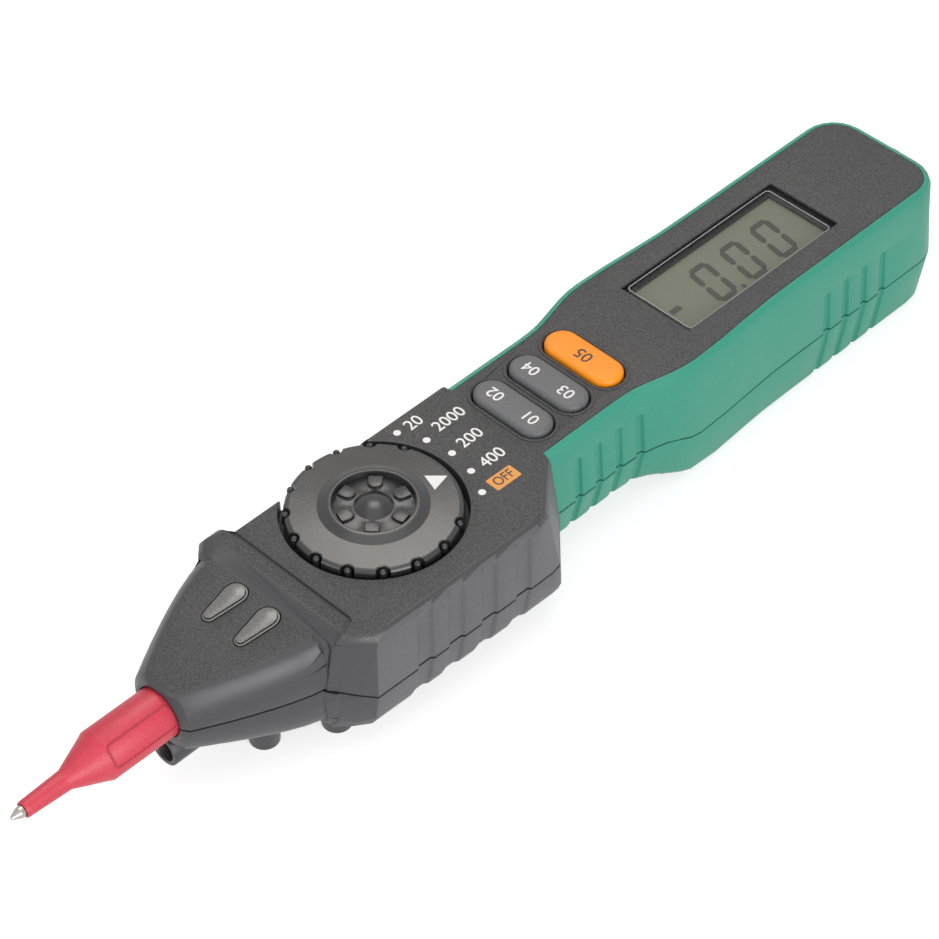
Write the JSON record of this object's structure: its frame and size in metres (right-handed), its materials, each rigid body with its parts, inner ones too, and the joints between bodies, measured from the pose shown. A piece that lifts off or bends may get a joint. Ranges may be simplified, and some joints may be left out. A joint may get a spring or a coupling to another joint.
{
  "type": "pen multimeter",
  "caption": "Pen-shaped digital multimeter with a rotary dial, push button, two rocker keys, display, sliding probe sleeve and a rear test lead socket.",
  "frame": {"origin": "centre of the underside of its bounding box, on the surface it lies on", "axes": "+Y towards the probe tip, +Z out of the face, +X to the right of a reader who looks down at the face with the tip pointing away"},
  "size_m": [0.038, 0.208, 0.029],
  "materials": {
    "case_black": "fine spark-eroded texture",
    "grip_green": "satin soft-touch",
    "dial_black": "satin",
    "dial_dark": "semi-gloss",
    "mark_white": "printed",
    "nylon": "moulded",
    "contact_gold": "polished",
    "steel": "plated",
    "button_orange": "matt",
    "button_grey": "matt",
    "pad_rubber": "matt",
    "board_green": "solder resist",
    "chip_black": "moulded",
    "fuse_glass": "clear",
    "led_white": "diffuse",
    "display": "reflective",
    "display_mask": "printed",
    "window_clear": "clear",
    "lens_smoke": "smoked",
    "probe_steel": "polished",
    "brass": "turned",
    "sleeve_red": "moulded",
    "copper": "foil",
    "shroud_black": "moulded",
    "cell_wrap": "shrink wrap"
  },
  "bodies": {
    "housing": {"upper_case": "case_black", "lower_case": "case_black", "upper_grip": "grip_green", "lower_grip": "grip_green", "detent_ring": "nylon", "lcd_holder": "nylon", "fuse_clips": "contact_gold", "case_screws": "steel", "battery_springs": "steel", "battery_plates": "steel", "button_pad": "pad_rubber", "zebra_strips": "pad_rubber", "main_board": "board_green", "board_chips": "chip_black", "buzzer": "chip_black", "fuse": "fuse_glass", "indicator_leds": "led_white", "torch_led": "led_white", "lcd_glass": "display", "lcd_mask": "display_mask", "lcd_window": "window_clear", "lens_left": "lens_smoke", "lens_right": "lens_smoke", "probe_pin": "probe_steel", "probe_bush": "brass", "com_jack": "brass", "ncv_antenna": "copper", "jack_shroud": "shroud_black", "batteries": "cell_wrap"},
    "dial": {"dial_knob": "dial_black", "dial_hub": "dial_dark", "dial_pointer": "mark_white", "dial_rotor": "nylon", "wiper_contacts": "contact_gold", "detent_balls": "steel", "detent_springs": "steel"},
    "orange_button": {"push_button": "button_orange"},
    "near_rocker": {"rocker_near": "button_grey"},
    "far_rocker": {"rocker_far": "button_grey"},
    "sleeve": {"probe_sleeve": "sleeve_red"},
    "cover": {"battery_cover": "grip_green"}
  },
  "joints": [
    {"name": "dial_turn", "type": "hinge", "parent": "housing", "child": "dial", "pos_m": [0.0024, 0.0273, 0.0272], "axis": [0, 0, 1], "range_deg": [-16.8, 50.4]},
    {"name": "orange_press", "type": "slide", "parent": "housing", "child": "orange_button", "axis": [0, 0, -1], "range_m": [0, 0.0007], "stiffness_N_per_m": 400, "springref_m": -0.001},
    {"name": "near_rock", "type": "hinge", "parent": "housing", "child": "near_rocker", "pos_m": [0.0024, -0.0046, 0.0238], "axis": [0, 1, 0], "range_deg": [-3, 3], "stiffness_Nm_per_rad": 0.02},
    {"name": "far_rock", "type": "hinge", "parent": "housing", "child": "far_rocker", "pos_m": [0.0024, -0.0131, 0.0238], "axis": [0, 1, 0], "range_deg": [-3, 3], "stiffness_Nm_per_rad": 0.02},
    {"name": "sleeve_pull", "type": "slide", "parent": "housing", "child": "sleeve", "axis": [0, 1, 0], "range_m": [0, 0.03]},
    {"name": "cover_slide", "type": "slide", "parent": "housing", "child": "cover", "axis": [0, -1, 0], "range_m": [0, 0.008]}
  ]
}
